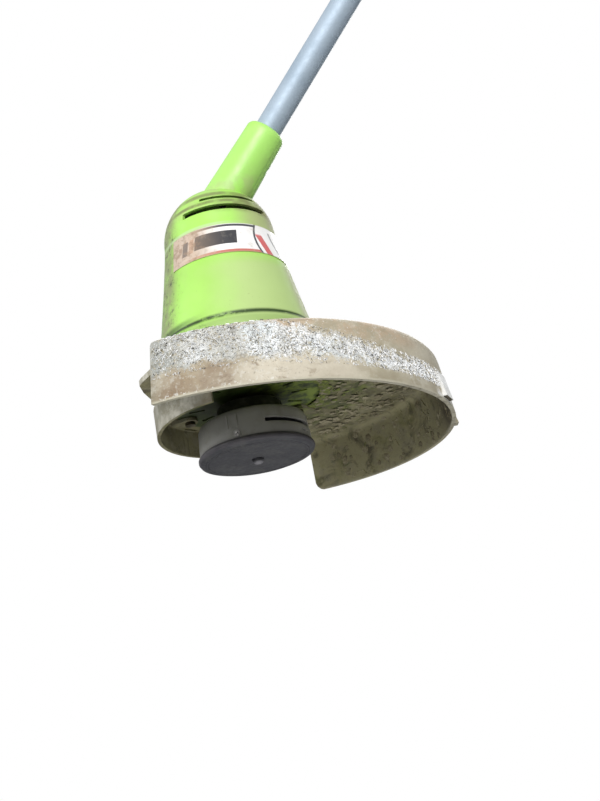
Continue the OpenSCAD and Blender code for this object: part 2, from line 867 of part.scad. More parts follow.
// The whole handle inset by w: grip, rear bend, inlet post, lower bar and front strut
module handle_form(w, z0) {
    profile = [for (s = grip_stations) if (s[0] >= z0) [s[1] - w, s[0]]];
    rear = 30;
    low = 20;
    r = strut_r - w;
    rotate([0, 0, 90]) rotate_extrude() polygon(concat([[0, profile[0][1]]], profile, [[0, grip_end]]));
    bend(rear, grip_end, rear, grip_r - w, 90);
    bar([rear, 0, loop_end], [inlet_x + 12, 0, loop_end], grip_r - w);
    bar([inlet_x, 0, loop_end], [loop_x - low, 0, loop_end], r, false);
    bend(loop_x - low, loop_end - low, low, r, 0);
    bar([loop_x, 0, loop_end - low], [loop_x, 0, strut_z + low], r, false);
    bend(loop_x - low, strut_z + low, low, r, -90);
    bar([loop_x - low, 0, strut_z], [12, 0, strut_z], r, false);
}

// Screw places of the handle: [x, z, half length of the boss]
handle_spots = [[14.6, 45, 8], [-14.6, 45, 8], [9, 279, 16.5], [loop_x, 200, 8.2], [45, strut_z, 8.2]];

module handle_screw_spots() {
    for (p = handle_spots) translate([p[0], 0, p[1]]) children();
}

module handle_shell(side) {
    color(lime) at_handle() difference() {
        intersection() {
            union() {
                difference() {
                    union() {
                        handle_form(0, 0);
                        translate([inlet_x, 0, loop_end]) cylinder(h = 30, r = 19);
                        translate([eye_x, 0, eye_z]) along_y(10, 8.5);
                    }
                    handle_form(handle_wall, 60);
                }
                for (p = handle_spots) translate([p[0], 0, p[1]]) along_y(2 * p[2], 4.5);
                difference() {
                    translate([pivot[0], 0, pivot[2]]) along_y(34, 5);
                    cube([200, trigger_w + 1.2, 400], center = true);
                }
                translate([-1.6, -22, 92]) cube([1.6, 44, 18]);
            }
            half_space(side);
        }
        translate([0, 0, -1]) cylinder(h = 78, r = tube_r + 0.1);
        translate([0, 0, 70]) cylinder(h = 26, r = 9);
        translate([inlet_x, 0, loop_end - 4]) cylinder(h = 40, r = 16.35);
        translate([eye_x, 0, eye_z]) along_y(30, eye_r);
        translate([10, -trigger_w / 2 - 0.6, 97]) cube([30, trigger_w + 1.2, 59]);
        translate([-16, 0, lock_z]) rotate([0, -90, 0]) cylinder(h = 20, r = 6.8);
        translate([pivot[0], 0, pivot[2]]) along_y(32, 2.02);
        handle_screw_spots() along_y(13, 1.6);
        handle_screw_spots() translate([0, 4, 0]) rotate([-90, 0, 0]) cylinder(h = 30, r = 3.4);
    }
}

module handle_left() {
    handle_shell(-1);
}

module handle_right() {
    handle_shell(1);
}

module handle_screws() {
    color(steel) at_handle() handle_screw_spots() {
        translate([0, 4.1, 0]) rotate([-90, 0, 0]) cylinder(h = 2.2, r = 3);
        translate([0, 4.1, 0]) rotate([90, 0, 0]) cylinder(h = 10, r = 1.5);
    }
}

module trigger() {
    face = [for (i = [8:-1:0]) [29 + 3 * cos(i * 45), 100 + 6 * i]];
    color(black) at_handle() difference() {
        union() {
            translate([0, trigger_w / 2, 0]) rotate([90, 0, 0])
                linear_extrude(trigger_w) polygon(concat([[10, 102], [12, 150], [20, 154], [28, 152]], face));
            translate([pivot[0], 0, pivot[2]]) along_y(trigger_w, 5);
        }
        translate([pivot[0], 0, pivot[2]]) along_y(40, 2 + fit_gap);
    }
}

module trigger_pin() {
    color(steel) at_handle() translate([pivot[0], 0, pivot[2]]) along_y(31, 2);
}

module switch_body() {
    color(black) at_handle() difference() {
        union() {
            translate([-14, -8, 112]) cube([16, 16, 30]);
            for (z = [118, 134]) translate([-16, -3, z]) cube([3, 6, 4]);
        }
        translate([-6, 0, plunger_z]) rotate([0, 90, 0]) cylinder(h = 20, r = 3 + fit_gap);
    }
}

module switch_plunger() {
    color("red") at_handle() translate([-1, 0, plunger_z]) rotate([0, 90, 0]) cylinder(h = 11.8, r = 3);
}

module trigger_spring() {
    color(steel) at_handle() translate([2.2, 0, plunger_z]) rotate([0, 90, 0]) coil_spring(5, 8.6, 4, 0.8);
}

module lock_button() {
    color(black) at_handle() translate([0, 0, lock_z]) rotate([0, -90, 0]) rotate_extrude() polygon([
        [0, 10], [9, 10], [9, 12.5], [6.5, 12.5], [6.5, 26], [5.4, 27.4], [0, 27.8]
    ]);
}

module lock_spring() {
    color(steel) at_handle() translate([-1.7, 0, lock_z]) rotate([0, -90, 0]) coil_spring(5, 8.2, 3, 0.9);
}

// Recessed inlet that takes the extension lead's connector
module power_inlet() {
    color(black) at_handle() translate([inlet_x, 0, loop_end]) difference() {
        union() {
            translate([0, 0, -3]) cylinder(h = 32.5, r = 16.3);
            translate([0, 0, 30.1]) cylinder(h = 2.4, r = 18.6);
            translate([0, 0, 28]) cylinder(h = 3, r = 16.3);
        }
        translate([0, 0, 8]) cylinder(h = 40, r = 14);
        for (y = [-9.5, 9.5]) translate([0, y, -10]) cylinder(h = 30, r = 2.4);
    }
}

module inlet_pins() {
    color(brass) at_handle() for (y = [-9.5, 9.5]) translate([inlet_x, y, loop_end - 6]) {
        cylinder(h = 31, r = 2.38);
        translate([0, 0, 31]) sphere(r = 2.38);
    }
}

housing_left();
housing_right();
housing_base();
housing_screws();
side_label();
guard();
guard_screws();
line_cutter();
cutter_screws();
stator_core();
field_coils();
armature_core();
armature_windings();
commutator();
motor_shaft();
upper_bearing();
lower_bearing();
cooling_fan();
brush_bracket();
bracket_bolts();
brush_holders();
carbon_brushes();
brush_springs();
capacitor();
spool_cup();
spool_cap();
line_spool();
line_coil();
line_ends();
line_eyelets();
tap_button();
feed_spring();
drive_pin();
shaft_tube();
power_lead();
aux_handle();
aux_grip();
clamp_upper();
clamp_lower();
clamp_screws();
clamp_bolt();
clamp_knob();
handle_left();
handle_right();
handle_screws();
trigger();
trigger_pin();
switch_body();
switch_plunger();
trigger_spring();
lock_button();
lock_spring();
power_inlet();
inlet_pins();
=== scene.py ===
"""Looks of the string trimmer: finer pieces, materials, floor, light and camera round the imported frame.

Lengths are in metres. The origin is the tip of the tap button, +Z runs up the line head's spin axis and
+X points towards the user. Angles round the spin axis are counted from +X towards +Y, in radians unless
a name or comment says degrees.
"""
import json
import math
import random

import bpy
from mathutils import Matrix, Vector


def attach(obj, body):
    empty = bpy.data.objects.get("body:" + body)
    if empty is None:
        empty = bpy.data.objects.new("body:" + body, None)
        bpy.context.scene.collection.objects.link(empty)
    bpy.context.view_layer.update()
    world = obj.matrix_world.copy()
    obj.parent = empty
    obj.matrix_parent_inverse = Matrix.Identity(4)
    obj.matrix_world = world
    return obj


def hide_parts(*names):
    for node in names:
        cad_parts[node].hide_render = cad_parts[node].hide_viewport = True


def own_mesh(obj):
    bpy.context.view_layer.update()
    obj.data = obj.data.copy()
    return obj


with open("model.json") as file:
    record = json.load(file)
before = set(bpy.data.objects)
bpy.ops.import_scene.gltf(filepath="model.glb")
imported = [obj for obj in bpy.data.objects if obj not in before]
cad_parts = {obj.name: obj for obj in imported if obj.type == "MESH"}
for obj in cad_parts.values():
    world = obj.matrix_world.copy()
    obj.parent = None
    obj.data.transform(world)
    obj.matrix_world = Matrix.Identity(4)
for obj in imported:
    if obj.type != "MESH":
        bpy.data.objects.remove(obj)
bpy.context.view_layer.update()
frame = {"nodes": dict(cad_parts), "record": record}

scene = bpy.context.scene


# ---------- Node materials ----------

# A mask is an output that is 1 where a colour shows and 0 where it doesn't. The masks and colours come from
# comparing renders with the photo, so most of their numbers are places, noise scales and strengths set one by
# one.

class Shader:
    """A Principled material. Each method adds a node or a few and returns the output that others read."""

    def __init__(self, name):
        self.material = bpy.data.materials.new(name)
        self.material.use_nodes = True
        self.tree = self.material.node_tree
        self.tree.nodes.clear()
        self.surface = self.tree.nodes.new("ShaderNodeBsdfPrincipled")
        output = self.tree.nodes.new("ShaderNodeOutputMaterial")
        self.tree.links.new(self.surface.outputs[0], output.inputs[0])
        self.place = self.tree.nodes.new("ShaderNodeTexCoord").outputs["Object"]
        self.axes = None

    def move_to(self, rotation, location):
        """Reads every coordinate from here on in a turned and shifted frame."""
        node = self.tree.nodes.new("ShaderNodeMapping")
        self.feed(node.inputs["Vector"], self.place)
        node.inputs["Rotation"].default_value = rotation
        node.inputs["Location"].default_value = location
        self.place = node.outputs[0]
        self.axes = None

    def feed(self, socket, value):
        """Links an output to the socket, or sets a number or colour on it."""
        if isinstance(value, bpy.types.NodeSocket):
            self.tree.links.new(value, socket)
        elif isinstance(value, (tuple, list)) and len(value) == 3 and socket.type == "RGBA":
            socket.default_value = (*value, 1)
        else:
            socket.default_value = value

    def set(self, **values):
        """Feeds the surface's sockets: base_color=..., roughness=..., and so on."""
        for name, value in values.items():
            self.feed(self.surface.inputs[name.replace("_", " ").title()], value)

    # Places

    def axis(self, index):
        """The x, y or z coordinate of the point."""
        if self.axes is None:
            node = self.tree.nodes.new("ShaderNodeSeparateXYZ")
            self.feed(node.inputs[0], self.place)
            self.axes = node.outputs
        return self.axes[index]

    def normal_axis(self, index):
        """One coordinate of the surface's own normal."""
        geometry = self.tree.nodes.new("ShaderNodeNewGeometry")
        split = self.tree.nodes.new("ShaderNodeSeparateXYZ")
        self.tree.links.new(geometry.outputs["Normal"], split.inputs[0])
        return split.outputs[index]

    def azimuth(self):
        """Angle round the spin axis, in radians."""
        return self.calc("ARCTAN2", self.axis(1), self.axis(0))

    def radius(self):
        x, y = self.axis(0), self.axis(1)
        return self.calc("SQRT", self.add(self.times(x, x), self.times(y, y)))

    def stretched(self, x, y, z):
        """The point with its axes scaled: marks are finer along an axis with a higher number."""
        node = self.tree.nodes.new("ShaderNodeMapping")
        self.feed(node.inputs["Vector"], self.place)
        node.inputs["Scale"].default_value = (x, y, z)
        return node.outputs[0]

    # Sums

    def calc(self, operation, a, b=0.0):
        node = self.tree.nodes.new("ShaderNodeMath")
        node.operation = operation
        self.feed(node.inputs[0], a)
        self.feed(node.inputs[1], b)
        return node.outputs[0]

    def fold(self, operation, values):
        result = values[0]
        for value in values[1:]:
            result = self.calc(operation, result, value)
        return result

    def add(self, *values):
        return self.fold("ADD", values)

    def less(self, a, b):
        return self.calc("SUBTRACT", a, b)

    def times(self, *values):
        return self.fold("MULTIPLY", values)

    def most(self, *values):
        return self.fold("MAXIMUM", values)

    # Masks

    def between(self, value, low, high, out_low=0.0, out_high=1.0):
        """Smooth step from out_low, where value is low, to out_high, where it is high. It may run downwards."""
        node = self.tree.nodes.new("ShaderNodeMapRange")
        node.interpolation_type = "SMOOTHSTEP"
        for socket, number in zip(node.inputs, (value, low, high, out_low, out_high)):
            self.feed(socket, number)
        return node.outputs[0]

    def band(self, value, centre, half, soft):
        """1 within half of centre, fading to 0 over soft. Half and soft are plain numbers."""
        away = self.calc("ABSOLUTE", self.less(value, centre))
        return self.between(away, half, half + soft, 1.0, 0.0)

    def noise(self, scale, detail=3.0, rough=0.55, where=None, distortion=0.0):
        node = self.tree.nodes.new("ShaderNodeTexNoise")
        self.feed(node.inputs["Vector"], where or self.place)
        node.inputs["Scale"].default_value = scale
        node.inputs["Detail"].default_value = detail
        node.inputs["Roughness"].default_value = rough
        node.inputs["Distortion"].default_value = distortion
        return node.outputs["Fac"]

    def patches(self, scale, detail, rough, low, high, least=0.0, where=None, distortion=0.0):
        """Noise cut into patches: least where the noise is under low, 1 where it is over high."""
        return self.between(self.noise(scale, detail, rough, where, distortion), low, high, least, 1.0)

    def wander(self, scale, detail, low, high):
        """A number that drifts between low and high over the surface."""
        return self.between(self.noise(scale, detail), 0.2, 0.8, low, high)

    # Colours

    def mix(self, factor, a, b):
        node = self.tree.nodes.new("ShaderNodeMix")
        node.data_type = "RGBA"
        self.feed(node.inputs[0], factor)
        self.feed(node.inputs[6], a)
        self.feed(node.inputs[7], b)
        return node.outputs[2]

    def two_tone(self, scale, detail, a, b, low=0.3, high=0.7, rough=0.55):
        """Two colours that drift into each other."""
        return self.mix(self.patches(scale, detail, rough, low, high), a, b)

    def layers(self, base, *coats):
        """Lays colours over a base one after another, each given as (mask, colour)."""
        for mask, colour in coats:
            base = self.mix(mask, base, colour)
        return base

    def bump(self, height, distance, strength):
        node = self.tree.nodes.new("ShaderNodeBump")
        node.inputs["Distance"].default_value = distance
        node.inputs["Strength"].default_value = strength
        self.feed(node.inputs["Height"], height)
        return node.outputs[0]


def moulded(name, dark, light, roughness, grain=2200, grain_depth=0.00004, scuff=None):
    """Moulded plastic: slow colour drift, fine grain in the gloss and the surface, optional pale scuffs."""
    s = Shader(name)
    colour = s.two_tone(24, 4, dark, light)
    if scuff is not None:
        scratches = s.patches(60, 6, 0.7, 0.60, 0.74, where=s.stretched(1.0, 6.0, 9.0), distortion=0.6)
        colour = s.mix(s.times(scratches, 0.55), colour, scuff)
    s.set(base_color=colour, roughness=s.wander(90, 5, roughness - 0.08, roughness + 0.1),
          normal=s.bump(s.noise(grain, 2), grain_depth, 0.5))
    return s.material


def metal(name, dark, light, roughness, brush=(1, 1, 1), grain=900):
    """Bare or plated metal with drawn or rolled marks along one direction."""
    s = Shader(name)
    marks = s.noise(grain, 4, 0.6, s.stretched(*brush))
    s.set(base_color=s.two_tone(110, 4, dark, light), metallic=1.0,
          roughness=s.between(marks, 0.2, 0.8, roughness - 0.08, roughness + 0.12),
          normal=s.bump(marks, 0.00003, 0.4))
    return s.material


def dry_plant(name, dark, light):
    """Dry grass, soil or moss: a colour drift from bit to bit and a fibre along it."""
    s = Shader(name)
    s.set(base_color=s.two_tone(500, 3, dark, light, 0.35, 0.65), roughness=0.75,
          normal=s.bump(s.noise(2500, 3), 0.00004, 0.6))
    return s.material


# Places on the line head and the motor housing
CAP_FACE_Z = 0.0058        # the cap's face lies below this
CAP_TOP_Z = 0.0092         # between the cap's rim and the cup
CAP_EDGE_R = 0.0437        # the cap's rounded edge
HUB_MOSS_AND_SHADE_Z = 0.0305            # moss and painted shade from the cup's shoulder up
INSIDE_GUARD_Z = 0.0545    # below this the base ring is inside the guard
STEP_Z = 0.0972            # the joint between the base ring and the shells
LABEL_Z, LABEL_HEIGHT = 0.1525, 0.0275
VENTS_Z = (0.2035, 0.2135)
CROWN_Z = 0.208            # the dome's round top, between the vents
COLLAR_FOOT_Z = 0.226
COLLAR_Z = 0.250           # the head ends here and the collar goes on


def lime_plastic():
    """Lime green shells: dust low down and on the dome, dirt and painted shade at the vents and along the
    joints, painted shade on the base ring and under the guard, a painted highlight by the collar, a caked
    front.
    """
    s = Shader("lime_plastic")
    x, z, turn = s.axis(0), s.axis(2), s.azimuth()
    from_user = s.calc("ABSOLUTE", turn)
    on_head = s.between(z, COLLAR_Z + 0.012, COLLAR_Z)
    front = s.between(x, -0.030, -0.056)
    off_axis = s.between(s.radius(), 0.012, 0.032)

    # Pale dust
    drift = s.add(x, s.times(s.less(s.noise(30, 4), 0.5), 0.035))
    low_dust = s.times(s.between(z, 0.158, 0.140), s.between(drift, -0.022, 0.040), 0.60)
    head_dust = s.times(s.patches(42, 6, 0.62, 0.46, 0.70), s.add(s.times(front, 0.55), 0.16), on_head)
    crown = s.times(s.band(z, CROWN_Z, 0.006, 0.009), s.patches(60, 5, 0.55, 0.36, 0.66, 0.25),
                    s.between(x, -0.030, -0.010, 0.20, 0.50))
    shoulder = s.times(s.between(x, 0.022, 0.042), s.band(z, 0.194, 0.014, 0.014), 0.78)
    collar_foot = s.times(s.band(z, COLLAR_FOOT_Z, 0.004, 0.008), s.patches(90, 5, 0.55, 0.35, 0.6), 0.45)
    dust = s.most(low_dust, head_dust, crown, shoulder, collar_foot)

    # Brown dirt and painted shade in and by the vent slots, and flecks lower down
    vent_lines = s.most(s.times(s.band(z, VENTS_Z[0], 0.0006, 0.0022), 0.85),
                        s.times(s.band(z, VENTS_Z[1], 0.0012, 0.0030), 0.75))
    vent_dirt_and_shade = s.times(vent_lines, s.patches(70, 6, 0.7, 0.30, 0.58, 0.30),
                          s.between(x, -0.034, -0.010, 0.45, 1.0))
    # Dirt and painted shade on the dome's side towards the user, by the vents
    vents_side_dirt_and_shade = s.times(s.band(z, VENTS_Z[0] + 0.0005, 0.0085, 0.0050), s.between(x, 0.006, 0.034),
                       s.patches(80, 5, 0.55, 0.30, 0.60, 0.35), 0.8)
    flecks = s.times(s.patches(420, 5, 0.7, 0.64, 0.72), s.between(z, 0.19, 0.09), 0.55)

    # The front and the far edge of the head
    caked = s.times(s.between(from_user, 1.92, 2.22), s.patches(50, 6, 0.72, 0.36, 0.58, 0.35), off_axis,
                    on_head)
    cracks = s.times(s.patches(190, 6, 0.8, 0.55, 0.60), s.between(from_user, 1.86, 2.20), off_axis, on_head)
    # Brownish dirt and painted shade along the dome's far edge
    far_edge_dirt_and_shade = s.times(s.between(turn, -0.30, -0.02), s.between(turn, 1.2, 0.6),
                       s.between(z, COLLAR_FOOT_Z, 0.216), 0.55)
    smear = s.patches(52, 6, 0.7, 0.60, 0.74, where=s.stretched(1, 1, 0.35), distortion=0.4)
    smears = s.times(smear, on_head, s.add(s.times(front, 0.5), 0.22))

    # Joints and edges, with painted shade at the step, on the base ring and under the guard
    above_label = s.times(s.band(z, LABEL_Z + LABEL_HEIGHT + 0.0015, 0.0006, 0.0014),
                          s.between(x, 0.040, 0.010), 0.6)
    # Dark grime and painted shade along the step between the base ring and the shells, and just below it
    step_line = s.most(s.band(z, STEP_Z, 0.0008, 0.0026),
                       s.times(s.band(z, STEP_Z + 0.0018, 0.0022, 0.0040),
                               s.between(x, 0.005, -0.030, 0.0, 0.75)))
    step = s.times(step_line, s.patches(75, 6, 0.75, 0.30, 0.46, 0.35))
    below_step = s.times(s.band(z, 0.094, 0.001, 0.006), s.patches(110, 6, 0.7, 0.50, 0.62),
                         s.between(x, 0.020, -0.020), 0.8)
    # Painted shade: the base ring below the step is darker green
    base_ring_shade = s.between(z, 0.0955, 0.0925, 0.0, 0.66)
    # Moss and painted shade on the base ring inside the guard, nearly black green where there is no moss
    under = s.times(s.between(z, INSIDE_GUARD_Z + 0.0025, INSIDE_GUARD_Z),
                    s.patches(48, 6, 0.66, 0.36, 0.60, 0.90))
    growth = s.times(s.patches(80, 6, 0.7, 0.40, 0.60), s.between(x, 0.000, 0.032))

    colour = s.layers(
        s.two_tone(18, 3, (0.33, 0.66, 0.085), (0.385, 0.74, 0.12)),
        # A painted highlight: paler green round the collar
        (s.times(s.band(z, COLLAR_Z, 0.020, 0.010), 0.28), (0.50, 0.88, 0.30)),
        (dust, s.mix(low_dust, (0.40, 0.40, 0.22), (0.52, 0.55, 0.33))),
        (s.most(vent_dirt_and_shade, vents_side_dirt_and_shade), (0.155, 0.165, 0.060)),
        (flecks, (0.20, 0.22, 0.07)),
        (s.times(caked, 0.80), (0.24, 0.235, 0.13)),
        (s.times(cracks, 0.85), (0.050, 0.055, 0.022)),
        (far_edge_dirt_and_shade, (0.30, 0.27, 0.16)),
        (smears, (0.25, 0.27, 0.10)),
        (base_ring_shade, (0.25, 0.38, 0.11)),
        (above_label, (0.50, 0.62, 0.38)),
        (s.most(step, below_step), (0.022, 0.055, 0.003)),
        (under, s.mix(growth, (0.026, 0.038, 0.007), (0.20, 0.27, 0.03))))
    pits = s.add(s.noise(1500, 2), s.times(s.noise(240, 5), dust, 1.5))
    s.set(base_color=colour, roughness=s.add(s.wander(120, 4, 0.34, 0.46), s.times(dust, 0.3)),
          normal=s.bump(pits, 0.00004, 0.3))
    return s.material


def tube_paint():
    """Blue grey powder coat with a fine orange peel and a few rubbed places."""
    s = Shader("tube_paint")
    rubbed = s.patches(150, 6, 0.7, 0.66, 0.76)
    scratches = s.patches(90, 7, 0.75, 0.66, 0.72, where=s.stretched(5, 5, 0.6), distortion=0.3)
    colour = s.layers(
        s.two_tone(35, 4, (0.33, 0.41, 0.49), (0.39, 0.47, 0.55)),
        (s.times(rubbed, 0.5), (0.55, 0.57, 0.58)),
        (s.times(scratches, 0.4), (0.14, 0.15, 0.17)))
    s.set(base_color=colour, metallic=0.38, roughness=s.wander(220, 4, 0.56, 0.66),
          coat_weight=0.04, coat_roughness=0.40, normal=s.bump(s.noise(1300, 2), 0.00002, 0.3))
    return s.material


def charcoal_plastic():
    """Charcoal line head: a side paler with dust and painted light, painted light on the cap's edge, a rubbed
    tip with a painted highlight, moss and painted shade on the hub, fine rings from rubbing on soil.
    """
    s = Shader("charcoal_plastic")
    z, turn = s.axis(2), s.azimuth()
    # The side, paler than the face: painted light with dust over it, and a brighter lit side, also painted
    # light
    side = s.between(z, CAP_TOP_Z, CAP_TOP_Z + 0.0013)
    dust = s.times(s.patches(90, 6, 0.66, 0.44, 0.70), s.add(0.14, s.times(side, 0.40)))
    lit_side = s.times(side, s.between(turn, -0.75, -0.10), s.between(turn, 0.9, 0.4), 0.55)
    # Painted light on the cap's rounded edge
    rim = s.times(s.between(s.radius(), CAP_EDGE_R - 0.0012, CAP_EDGE_R),
                  s.between(z, CAP_TOP_Z + 0.0002, CAP_TOP_Z - 0.0004),
                  s.patches(120, 5, 0.55, 0.25, 0.55, 0.4))
    # The tap button's tip: rubbed, with a painted highlight
    tip = s.times(s.between(z, 0.0024, 0.0004), s.patches(260, 4, 0.55, 0.3, 0.6, 0.5))
    specks = s.times(s.patches(700, 4, 0.7, 0.66, 0.72), s.between(z, CAP_FACE_Z, CAP_FACE_Z - 0.0012),
                     0.5)
    # Moss and painted shade round the hub, nearly black
    hub_moss_and_shade = s.times(s.between(z, HUB_MOSS_AND_SHADE_Z, HUB_MOSS_AND_SHADE_Z + 0.0035), s.between(s.noise(70, 5), 0.25, 0.5, 0.75, 0.98))
    colour = s.layers(
        s.two_tone(40, 4, (0.034, 0.034, 0.040), (0.047, 0.047, 0.054)),
        (s.times(side, 0.9), (0.31, 0.305, 0.28)),
        (dust, (0.19, 0.185, 0.145)),
        (lit_side, (0.46, 0.45, 0.42)),
        (s.times(rim, 0.42), (0.150, 0.135, 0.150)),
        (s.times(tip, 0.7), (0.30, 0.29, 0.31)),
        (specks, (0.24, 0.23, 0.24)),
        (hub_moss_and_shade, (0.013, 0.015, 0.008)))
    rings = s.noise(260, 3, 0.6, s.stretched(1, 1, 4))
    s.set(base_color=colour, roughness=s.wander(300, 4, 0.44, 0.62),
          normal=s.bump(s.add(s.noise(1300, 3), s.times(rings, 0.5)), 0.00006, 0.6))
    return s.material


# The guard's own frame: centred on its skirt and pitched down towards the user
GUARD_PITCH = math.radians(2.4)
GUARD_PIVOT = Vector((-0.012, 0, 0.055))
GUARD_SHIFT = 0.015
TO_GUARD = (Matrix.Translation((-GUARD_SHIFT, 0, GUARD_PIVOT.z)) @ Matrix.Rotation(-GUARD_PITCH, 4, "Y")
            @ Matrix.Translation(-GUARD_PIVOT))
FROM_GUARD = TO_GUARD.inverted()
GUARD_SPIN = FROM_GUARD.to_3x3()

# The skirt in that frame: its rim, its top under the rounded shoulder, and the flat plate
RIM_R, TOP_R, RIM_Z, SHOULDER_Z, PLATE_Z = 0.1495, 0.1445, 0.0086, 0.047, 0.055


def guard_outside(s, turn, level):
    """Aged beige plastic under a white crust of dry clippings: its colour, and how much crust and speck."""
    x, y, r = s.axis(0), s.axis(1), s.radius()
    # The photo's stains stop short of the front, where the angle jumps from -pi to pi
    not_front = s.between(turn, -3.08, -2.80)
    ring = s.between(x, 0.004, -0.020)
    fresh = s.two_tone(34, 5, (0.34, 0.30, 0.21), (0.47, 0.43, 0.33), 0.34, 0.66, 0.6)
    brown_left = s.times(not_front, s.between(turn, -1.12, -1.40), s.between(level, 0.62, 0.25),
                         s.patches(60, 5, 0.55, 0.28, 0.58, 0.45))
    stains = s.patches(26, 6, 0.7, 0.52, 0.66, where=s.stretched(1, 1, 0.5), distortion=0.5)
    warm = s.times(s.between(level, 0.55, 0.80), s.band(turn, -0.80, 0.35, 0.25),
                   s.patches(70, 6, 0.7, 0.36, 0.62), 0.7)
    bright = s.times(s.band(turn, -0.98, 0.16, 0.16), s.between(level, 0.45, 0.30), 0.5)
    freckles = s.times(s.patches(520, 4, 0.7, 0.60, 0.66), s.between(turn, -0.70, -1.20), not_front, 0.6)
    streak = s.patches(60, 7, 0.75, 0.52, 0.64, where=s.stretched(1, 1, 2.4), distortion=0.5)
    streaks = s.times(streak, s.between(turn, -0.75, -1.15, 0.15, 0.85), not_front)
    chips = s.times(s.patches(330, 5, 0.7, 0.54, 0.60), s.between(turn, -0.90, -1.20), not_front,
                    s.most(s.between(level, 0.10, 0.03), s.times(s.between(level, 0.45, 0.30), 0.3)))
    smear = s.times(ring, s.between(y, -0.030, -0.055), s.patches(75, 6, 0.7, 0.36, 0.60), 0.75)
    sprinkle = s.times(s.patches(700, 4, 0.7, 0.60, 0.64), s.band(turn, -0.75, 0.35, 0.25),
                       s.between(level, 0.35, 0.60), s.patches(60, 5, 0.55, 0.40, 0.60), 0.8)
    beige = s.layers(
        fresh,
        (s.times(s.patches(75, 6, 0.7, 0.50, 0.70), 0.6), (0.56, 0.53, 0.44)),
        (brown_left, (0.205, 0.140, 0.080)),
        (s.times(stains, 0.55), (0.30, 0.24, 0.15)),
        (warm, (0.46, 0.33, 0.22)),
        (bright, (0.62, 0.56, 0.46)),
        (freckles, (0.15, 0.13, 0.085)),
        (streaks, (0.19, 0.135, 0.080)),
        (s.times(chips, 0.8), (0.66, 0.66, 0.62)),
        (s.times(ring, 0.75), (0.24, 0.23, 0.165)),
        (smear, (0.60, 0.58, 0.50)),
        (sprinkle, (0.78, 0.79, 0.78)))

    # The crust narrows and drops from left to right
    centre = s.between(turn, -1.30, -0.35, 0.70, 0.33)
    half = s.between(turn, -1.20, -0.55, 0.27, 0.12)
    ragged = s.times(s.less(s.noise(95, 6, 0.72), 0.5), 0.55)
    away = s.less(s.calc("ABSOLUTE", s.less(s.add(level, ragged), centre)), half)
    crust = s.times(s.between(away, 0.06, -0.06), s.between(turn, 0.06, -0.10), s.between(turn, -1.75, -1.60),
                    s.between(r, 0.125, 0.135))
    cells = s.tree.nodes.new("ShaderNodeTexVoronoi")
    s.feed(cells.inputs["Vector"], s.place)
    cells.inputs["Scale"].default_value = 1500
    specks = s.tree.nodes.new("ShaderNodeSeparateColor")
    s.tree.links.new(cells.outputs["Color"], specks.inputs[0])
    white = s.mix(s.between(specks.outputs[0], 0.30, 0.55), (0.62, 0.63, 0.62), (0.92, 0.93, 0.94))
    grime = s.times(s.between(turn, -0.95, -1.40), s.patches(45, 5, 0.55, 0.32, 0.58, 0.35), 0.85)
    duller = s.times(s.patches(40, 5, 0.6, 0.46, 0.62), s.between(turn, -0.45, -0.85), 0.45)
    holes = s.times(s.patches(130, 6, 0.75, 0.54, 0.62), s.between(turn, -0.85, -1.25), 0.7)
    pale = s.layers(
        white,
        (s.between(specks.outputs[1], 0.88, 0.92), (0.13, 0.13, 0.12)),
        (grime, (0.25, 0.26, 0.23)),
        (duller, (0.40, 0.38, 0.32)),
        (holes, (0.17, 0.155, 0.115)))

    cover = s.times(crust, s.patches(480, 3, 0.6, 0.34, 0.44))
    lug = s.times(s.band(turn, -0.09, 0.10, 0.02), s.band(level, 0.22, 0.21, 0.02),
                  s.between(r, RIM_R - 0.001, RIM_R))
    blue_film = s.times(crust, s.patches(30, 4, 0.55, 0.48, 0.62), 0.25)
    colour = s.layers(
        beige,
        (cover, pale),
        (s.times(lug, 0.85), (0.90, 0.90, 0.88)),
        (blue_film, (0.66, 0.76, 0.80)))
    return colour, cover, specks.outputs[2]


def guard_inside(s):
    """Dark caked soil, with moss round the housing's base: its colour."""
    x, y, r = s.axis(0), s.axis(1), s.radius()
    wall = s.times(s.between(r, 0.126, 0.140), s.between(y, -0.02, 0.05), s.patches(22, 5, 0.55, 0.3, 0.6, 0.6))
    lumps = s.patches(85, 6, 0.7, 0.50, 0.62)
    hollows = s.patches(44, 5, 0.62, 0.50, 0.68, distortion=0.8)
    damp = s.patches(36, 5, 0.6, 0.54, 0.70, distortion=0.5)
    cracks = s.patches(150, 6, 0.75, 0.54, 0.66)
    moss = s.times(s.between(r, 0.108, 0.080), s.between(x, -0.040, -0.010),
                   s.patches(70, 5, 0.55, 0.35, 0.60), 0.75)
    moss_colour = s.two_tone(90, 6, (0.045, 0.060, 0.016), (0.17, 0.21, 0.035), 0.44, 0.60, 0.7)
    # Painted shade deep in the far right of the guard's inside
    far_right_shade = s.times(s.between(x, 0.090, 0.130), s.between(y, 0.085, 0.035), 0.85)
    scores = s.patches(70, 7, 0.75, 0.64, 0.69, where=s.stretched(1, 1, 3.5), distortion=0.4)
    return s.layers(
        s.two_tone(30, 6, (0.130, 0.118, 0.058), (0.240, 0.220, 0.120), 0.36, 0.64, 0.64),
        (wall, (0.30, 0.275, 0.155)),
        (s.times(lumps, 0.8), (0.245, 0.225, 0.145)),
        (s.times(hollows, 0.85), (0.070, 0.058, 0.030)),
        (s.times(damp, 0.6), (0.150, 0.150, 0.045)),
        (s.times(cracks, 0.6), (0.070, 0.064, 0.028)),
        (moss, moss_colour),
        (far_right_shade, (0.050, 0.036, 0.020)),
        (s.times(s.patches(620, 4, 0.75, 0.69, 0.73), 0.8), (0.38, 0.36, 0.25)),
        (s.times(scores, 0.45), (0.19, 0.175, 0.12)))


